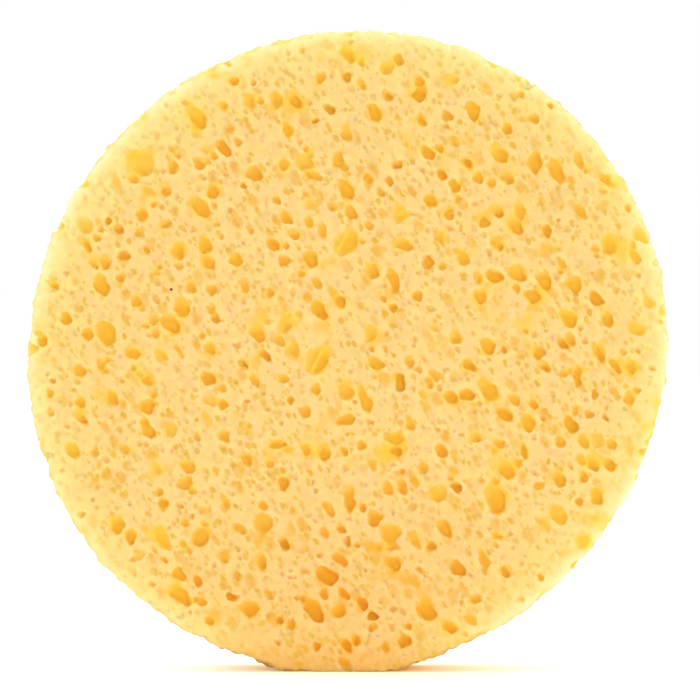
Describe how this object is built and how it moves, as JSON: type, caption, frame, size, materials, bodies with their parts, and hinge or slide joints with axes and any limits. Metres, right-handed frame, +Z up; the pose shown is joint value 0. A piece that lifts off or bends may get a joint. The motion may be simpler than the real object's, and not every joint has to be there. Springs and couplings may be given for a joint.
{
  "type": "reusable makeup remover pad",
  "caption": "Round yellow cellulose sponge pad for taking off makeup, standing on its edge on a small pressed flat spot, with open pores on its faces and rim.",
  "frame": {"origin": "middle of the flat spot that the pad stands on, halfway through its thickness, at the centre of the bottom of its bounding box", "axes": "+Z up, +Y out of the back face and through the thickness, +X to the right as seen from the front face, which looks along -Y"},
  "size_m": [0.08, 0.012, 0.0802],
  "materials": {
    "sponge": "matte"
  },
  "bodies": {
    "root": {"sponge_pad": "sponge"}
  },
  "joints": []
}
